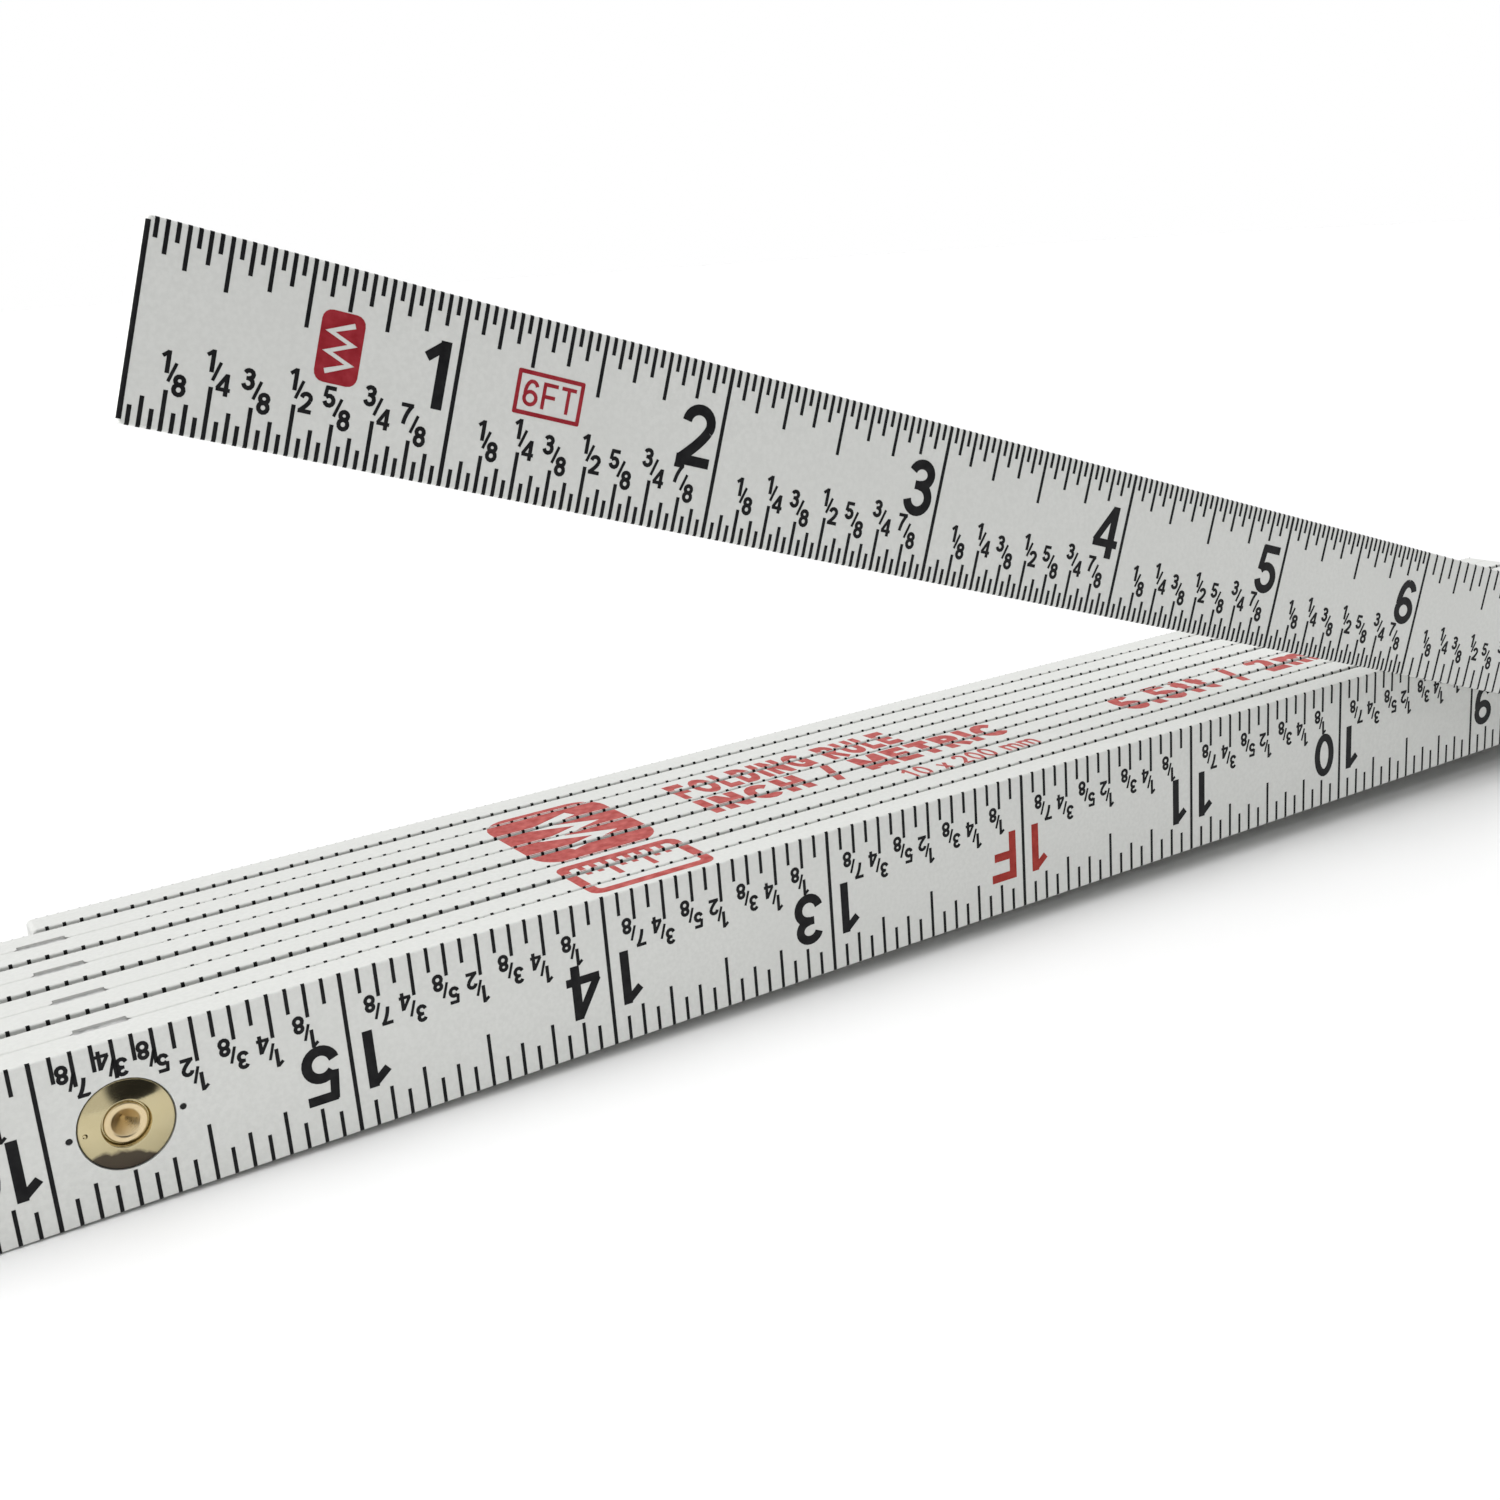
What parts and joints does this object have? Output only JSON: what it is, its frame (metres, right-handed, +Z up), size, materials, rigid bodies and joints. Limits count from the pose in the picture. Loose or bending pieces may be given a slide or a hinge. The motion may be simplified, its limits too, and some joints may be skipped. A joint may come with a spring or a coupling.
{
  "type": "folding rule",
  "caption": "Folding rule of flat links riveted end to end by spring joints, inches on one side and centimetres on the other, folded with its first link lifted.",
  "frame": {"origin": "on the surface that the rule stands on, under the middle of its bounding box", "axes": "+X along the folded rule, from the measuring ends to the first rivet, +Y from the first link to the last one, +Z up"},
  "size_m": [0.2362, 0.0382, 0.0778],
  "materials": {
    "white_composite": "satin, glass filled",
    "brass": "polished",
    "steel": "stamped sheet"
  },
  "bodies": {
    "link_01": {"link_01": "white_composite", "rivet_01": "brass", "front_cap_01": "brass", "front_plate_01": "steel"},
    "link_02": {"link_02": "white_composite", "rivet_02": "brass", "front_cap_02": "brass", "front_plate_02": "steel", "rear_cap_01": "brass", "rear_plate_01": "steel"},
    "link_03": {"link_03": "white_composite", "rivet_03": "brass", "front_cap_03": "brass", "front_plate_03": "steel", "rear_cap_02": "brass", "rear_plate_02": "steel"},
    "link_04": {"link_04": "white_composite", "rivet_04": "brass", "front_cap_04": "brass", "front_plate_04": "steel", "rear_cap_03": "brass", "rear_plate_03": "steel"},
    "link_05": {"link_05": "white_composite", "rivet_05": "brass", "front_cap_05": "brass", "front_plate_05": "steel", "rear_cap_04": "brass", "rear_plate_04": "steel"},
    "link_06": {"link_06": "white_composite", "rivet_06": "brass", "front_cap_06": "brass", "front_plate_06": "steel", "rear_cap_05": "brass", "rear_plate_05": "steel"},
    "link_07": {"link_07": "white_composite", "rivet_07": "brass", "front_cap_07": "brass", "front_plate_07": "steel", "rear_cap_06": "brass", "rear_plate_06": "steel"},
    "link_08": {"link_08": "white_composite", "rivet_08": "brass", "front_cap_08": "brass", "front_plate_08": "steel", "rear_cap_07": "brass", "rear_plate_07": "steel"},
    "link_09": {"link_09": "white_composite", "rivet_09": "brass", "front_cap_09": "brass", "front_plate_09": "steel", "rear_cap_08": "brass", "rear_plate_08": "steel"},
    "link_10": {"link_10": "white_composite", "rear_cap_09": "brass", "rear_plate_09": "steel"}
  },
  "joints": [
    {"name": "joint_09", "type": "hinge", "parent": "link_10", "child": "link_09", "pos_m": [0.09945, 0.0153, 0.01206], "axis": [0, 1, 0], "range_deg": [0, 180]},
    {"name": "joint_08", "type": "hinge", "parent": "link_09", "child": "link_08", "pos_m": [-0.1005, 0.01148, 0.00785], "axis": [0, -1, 0], "range_deg": [0, 180]},
    {"name": "joint_07", "type": "hinge", "parent": "link_08", "child": "link_07", "pos_m": [0.09945, 0.00765, 0.01206], "axis": [0, 1, 0], "range_deg": [0, 180]},
    {"name": "joint_06", "type": "hinge", "parent": "link_07", "child": "link_06", "pos_m": [-0.1005, 0.00382, 0.00785], "axis": [0, -1, 0], "range_deg": [0, 180]},
    {"name": "joint_05", "type": "hinge", "parent": "link_06", "child": "link_05", "pos_m": [0.09945, 0, 0.01206], "axis": [0, 1, 0], "range_deg": [0, 180]},
    {"name": "joint_04", "type": "hinge", "parent": "link_05", "child": "link_04", "pos_m": [-0.1005, -0.00382, 0.00785], "axis": [0, -1, 0], "range_deg": [0, 180]},
    {"name": "joint_03", "type": "hinge", "parent": "link_04", "child": "link_03", "pos_m": [0.09945, -0.00765, 0.01206], "axis": [0, 1, 0], "range_deg": [0, 180]},
    {"name": "joint_02", "type": "hinge", "parent": "link_03", "child": "link_02", "pos_m": [-0.1005, -0.01148, 0.00785], "axis": [0, -1, 0], "range_deg": [0, 180]},
    {"name": "joint_01", "type": "hinge", "parent": "link_02", "child": "link_01", "pos_m": [0.09945, -0.0153, 0.01206], "axis": [0, 1, 0], "range_deg": [-18.28, 161.72]}
  ]
}
